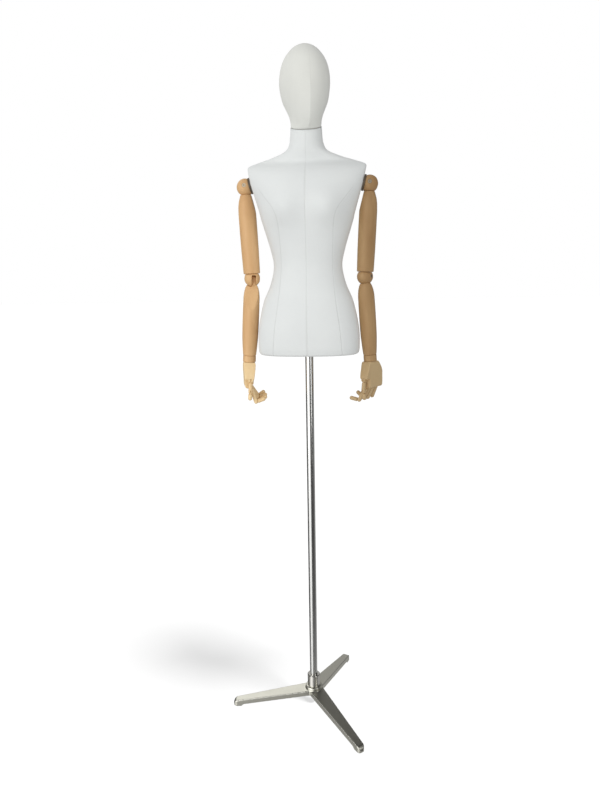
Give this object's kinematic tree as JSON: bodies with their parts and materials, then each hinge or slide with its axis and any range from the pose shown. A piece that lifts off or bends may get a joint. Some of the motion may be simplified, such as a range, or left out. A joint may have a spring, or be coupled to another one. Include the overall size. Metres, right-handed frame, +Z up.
{
  "type": "dress form mannequin",
  "caption": "Fabric-covered head and torso form on a height-adjustable pole with a cast tripod base and jointed wooden arms and hands.",
  "frame": {"origin": "on the floor under the pole axis", "axes": "+Z up along the pole, -Y the way the chest faces, +X to the figure's left"},
  "size_m": [0.5028, 0.4823, 2.089],
  "materials": {
    "base_metal": "satin",
    "collar_metal": "satin",
    "pole_metal": "satin",
    "zinc_hardware": "satin",
    "rubber_pads": "matte",
    "black_plastic": "matte",
    "cover_cloth": "matte",
    "board_wood": "matte",
    "arm_wood": "satin",
    "hand_wood": "satin",
    "pin_wood": "satin"
  },
  "bodies": {
    "stand": {"tripod_base": "base_metal", "foot_pads": "rubber_pads", "base_collar": "collar_metal", "collar_set_screw": "zinc_hardware", "pole": "pole_metal", "pole_foot_plug": "zinc_hardware", "pole_bolt": "zinc_hardware", "pole_top_cap": "black_plastic"},
    "height_clamp": {"clamp_collar": "zinc_hardware"},
    "clamp_knob": {"clamp_knob": "black_plastic"},
    "torso": {"torso_shell": "cover_cloth", "bottom_plate": "board_wood", "pole_flange": "zinc_hardware", "flange_screws": "zinc_hardware", "armhole_plates": "zinc_hardware", "shoulder_discs": "arm_wood", "neck_plate": "board_wood"},
    "head": {"head_shell": "cover_cloth", "head_plug": "board_wood", "neck_pin": "zinc_hardware"},
    "right_shoulder": {"right_shoulder_pivot": "zinc_hardware", "right_shoulder_ball": "arm_wood", "right_shoulder_bolt": "zinc_hardware"},
    "right_upper_arm": {"right_upper_arm": "arm_wood"},
    "right_elbow": {"right_elbow_ball": "arm_wood", "right_elbow_bolt": "zinc_hardware"},
    "right_forearm": {"right_forearm": "arm_wood", "right_wrist_ring": "arm_wood"},
    "right_hand": {"right_palm": "hand_wood", "right_knuckle_pins": "pin_wood"},
    "right_index_base": {"right_index_base": "hand_wood"},
    "right_index_tip": {"right_index_tip": "hand_wood"},
    "right_middle_base": {"right_middle_base": "hand_wood"},
    "right_middle_tip": {"right_middle_tip": "hand_wood"},
    "right_ring_base": {"right_ring_base": "hand_wood"},
    "right_ring_tip": {"right_ring_tip": "hand_wood"},
    "right_little_base": {"right_little_base": "hand_wood"},
    "right_little_tip": {"right_little_tip": "hand_wood"},
    "right_thumb_base": {"right_thumb_base": "hand_wood"},
    "right_thumb_tip": {"right_thumb_tip": "hand_wood"},
    "left_shoulder": {"left_shoulder_pivot": "zinc_hardware", "left_shoulder_ball": "arm_wood", "left_shoulder_bolt": "zinc_hardware"},
    "left_upper_arm": {"left_upper_arm": "arm_wood"},
    "left_elbow": {"left_elbow_ball": "arm_wood", "left_elbow_bolt": "zinc_hardware"},
    "left_forearm": {"left_forearm": "arm_wood", "left_wrist_ring": "arm_wood"},
    "left_hand": {"left_palm": "hand_wood", "left_knuckle_pins": "pin_wood"},
    "left_index_base": {"left_index_base": "hand_wood"},
    "left_index_tip": {"left_index_tip": "hand_wood"},
    "left_middle_base": {"left_middle_base": "hand_wood"},
    "left_middle_tip": {"left_middle_tip": "hand_wood"},
    "left_ring_base": {"left_ring_base": "hand_wood"},
    "left_ring_tip": {"left_ring_tip": "hand_wood"},
    "left_little_base": {"left_little_base": "hand_wood"},
    "left_little_tip": {"left_little_tip": "hand_wood"},
    "left_thumb_base": {"left_thumb_base": "hand_wood"},
    "left_thumb_tip": {"left_thumb_tip": "hand_wood"}
  },
  "joints": [
    {"name": "height_slide", "type": "slide", "parent": "stand", "child": "height_clamp", "axis": [0, 0, 1], "range_m": [-0.25, 0.1]},
    {"name": "torso_swivel", "type": "hinge", "parent": "height_clamp", "child": "torso", "pos_m": [0, 0, 1.2435], "axis": [0, 0, 1], "continuous": true},
    {"name": "clamp_knob_turn", "type": "hinge", "parent": "height_clamp", "child": "clamp_knob", "pos_m": [0, 0, 1.2325], "axis": [0, 1, 0], "range_deg": [-360, 0]},
    {"name": "head_turn", "type": "hinge", "parent": "torso", "child": "head", "pos_m": [0, 0, 1.8715], "axis": [0, -0.342, 0.9397], "range_deg": [-74, 46]},
    {"name": "right_shoulder_swing", "type": "hinge", "parent": "torso", "child": "right_shoulder", "pos_m": [-0.1825, 0, 1.711], "axis": [-0.9703, 0, -0.2419], "range_deg": [-45, 135]},
    {"name": "right_arm_raise", "type": "hinge", "parent": "right_shoulder", "child": "right_upper_arm", "pos_m": [-0.1825, 0, 1.715], "axis": [0, 1, 0], "range_deg": [0, 80]},
    {"name": "right_elbow_twist", "type": "hinge", "parent": "right_upper_arm", "child": "right_elbow", "pos_m": [-0.17035, 0, 1.44738], "axis": [0.0454, 0, -0.999], "range_deg": [-20, 20]},
    {"name": "right_elbow_bend", "type": "hinge", "parent": "right_elbow", "child": "right_forearm", "pos_m": [-0.17035, 0, 1.44738], "axis": [-0.9922, -0.1045, 0.0676], "range_deg": [0, 90]},
    {"name": "right_wrist_turn", "type": "hinge", "parent": "right_forearm", "child": "right_hand", "pos_m": [-0.18769, 0, 1.19297], "axis": [-0.068, 0, -0.9977], "range_deg": [-90, 90]},
    {"name": "right_index_knuckle", "type": "hinge", "parent": "right_hand", "child": "right_index_base", "pos_m": [-0.18316, -0.01211, 1.11648], "axis": [0.2414, -0.9703, -0.0165], "range_deg": [-20, 68]},
    {"name": "right_index_middle_joint", "type": "hinge", "parent": "right_index_base", "child": "right_index_tip", "pos_m": [-0.16927, -0.00781, 1.06656], "axis": [0.2414, -0.9703, -0.0165], "range_deg": [-93, 1]},
    {"name": "right_middle_knuckle", "type": "hinge", "parent": "right_hand", "child": "right_middle_base", "pos_m": [-0.18652, 0.00138, 1.11671], "axis": [0.2414, -0.9703, -0.0165], "range_deg": [-26, 62]},
    {"name": "right_middle_middle_joint", "type": "hinge", "parent": "right_middle_base", "child": "right_middle_tip", "pos_m": [-0.1669, 0.00711, 1.06672], "axis": [0.2414, -0.9703, -0.0165], "range_deg": [-93, 1]},
    {"name": "right_ring_knuckle", "type": "hinge", "parent": "right_hand", "child": "right_ring_base", "pos_m": [-0.18987, 0.01487, 1.11694], "axis": [0.2414, -0.9703, -0.0165], "range_deg": [-32, 56]},
    {"name": "right_ring_middle_joint", "type": "hinge", "parent": "right_ring_base", "child": "right_ring_tip", "pos_m": [-0.1662, 0.02153, 1.07112], "axis": [0.2414, -0.9703, -0.0165], "range_deg": [-92, 2]},
    {"name": "right_little_knuckle", "type": "hinge", "parent": "right_hand", "child": "right_little_base", "pos_m": [-0.19323, 0.02835, 1.11717], "axis": [0.2414, -0.9703, -0.0165], "range_deg": [-37, 51]},
    {"name": "right_little_middle_joint", "type": "hinge", "parent": "right_little_base", "child": "right_little_tip", "pos_m": [-0.16893, 0.03505, 1.07869], "axis": [0.2414, -0.9703, -0.0165], "range_deg": [-91, 3]},
    {"name": "right_thumb_knuckle", "type": "hinge", "parent": "right_hand", "child": "right_thumb_base", "pos_m": [-0.18092, -0.02571, 1.13738], "axis": [-0.968, -0.2419, 0.066], "range_deg": [-2, 43]},
    {"name": "right_thumb_middle_joint", "type": "hinge", "parent": "right_thumb_base", "child": "right_thumb_tip", "pos_m": [-0.18307, -0.02694, 1.10146], "axis": [0.968, 0.2419, -0.066], "range_deg": [-6, 34]},
    {"name": "left_shoulder_swing", "type": "hinge", "parent": "torso", "child": "left_shoulder", "pos_m": [0.1825, 0, 1.711], "axis": [-0.9703, 0, 0.2419], "range_deg": [-45, 135]},
    {"name": "left_arm_raise", "type": "hinge", "parent": "left_shoulder", "child": "left_upper_arm", "pos_m": [0.1825, 0, 1.715], "axis": [0, -1, 0], "range_deg": [0, 80]},
    {"name": "left_elbow_twist", "type": "hinge", "parent": "left_upper_arm", "child": "left_elbow", "pos_m": [0.17035, 0, 1.44738], "axis": [0.0454, 0, 0.999], "range_deg": [-20, 20]},
    {"name": "left_elbow_bend", "type": "hinge", "parent": "left_elbow", "child": "left_forearm", "pos_m": [0.17035, 0, 1.44738], "axis": [0.8461, -0.5299, 0.0577], "range_deg": [0, 90]},
    {"name": "left_wrist_turn", "type": "hinge", "parent": "left_forearm", "child": "left_hand", "pos_m": [0.18769, 0, 1.19297], "axis": [-0.068, 0, 0.9977], "range_deg": [-90, 90]},
    {"name": "left_index_knuckle", "type": "hinge", "parent": "left_hand", "child": "left_index_base", "pos_m": [0.17824, -0.00512, 1.11614], "axis": [0.3083, 0.9511, 0.021], "range_deg": [-33, 55]},
    {"name": "left_index_middle_joint", "type": "hinge", "parent": "left_index_base", "child": "left_index_tip", "pos_m": [0.15433, 0.00363, 1.0708], "axis": [0.3083, 0.9511, 0.021], "range_deg": [-72, 18]},
    {"name": "left_middle_knuckle", "type": "hinge", "parent": "left_hand", "child": "left_middle_base", "pos_m": [0.18821, 0.00454, 1.11682], "axis": [0.7177, 0.6947, 0.0489], "range_deg": [-38, 50]},
    {"name": "left_middle_middle_joint", "type": "hinge", "parent": "left_middle_base", "child": "left_middle_tip", "pos_m": [0.16806, 0.02845, 1.0728], "axis": [0.7177, 0.6947, 0.0489], "range_deg": [-86, 4]},
    {"name": "left_ring_knuckle", "type": "hinge", "parent": "left_hand", "child": "left_ring_base", "pos_m": [0.19819, 0.01419, 1.1175], "axis": [0.7177, 0.6947, 0.0489], "range_deg": [-34, 54]},
    {"name": "left_ring_middle_joint", "type": "hinge", "parent": "left_ring_base", "child": "left_ring_tip", "pos_m": [0.18097, 0.03511, 1.07312], "axis": [0.7177, 0.6947, 0.0489], "range_deg": [-86, 4]},
    {"name": "left_little_knuckle", "type": "hinge", "parent": "left_hand", "child": "left_little_base", "pos_m": [0.20816, 0.02385, 1.11819], "axis": [0.7177, 0.6947, 0.0489], "range_deg": [-30, 58]},
    {"name": "left_little_middle_joint", "type": "hinge", "parent": "left_little_base", "child": "left_little_tip", "pos_m": [0.19493, 0.04039, 1.07735], "axis": [0.7177, 0.6947, 0.0489], "range_deg": [-86, 4]},
    {"name": "left_thumb_knuckle", "type": "hinge", "parent": "left_hand", "child": "left_thumb_base", "pos_m": [0.16892, -0.01623, 1.13656], "axis": [-0.693, 0.7193, -0.0472], "range_deg": [-12, 33]},
    {"name": "left_thumb_middle_joint", "type": "hinge", "parent": "left_thumb_base", "child": "left_thumb_tip", "pos_m": [0.16595, -0.02142, 1.10106], "axis": [0.693, -0.7193, 0.0472], "range_deg": [-22, 18]}
  ]
}
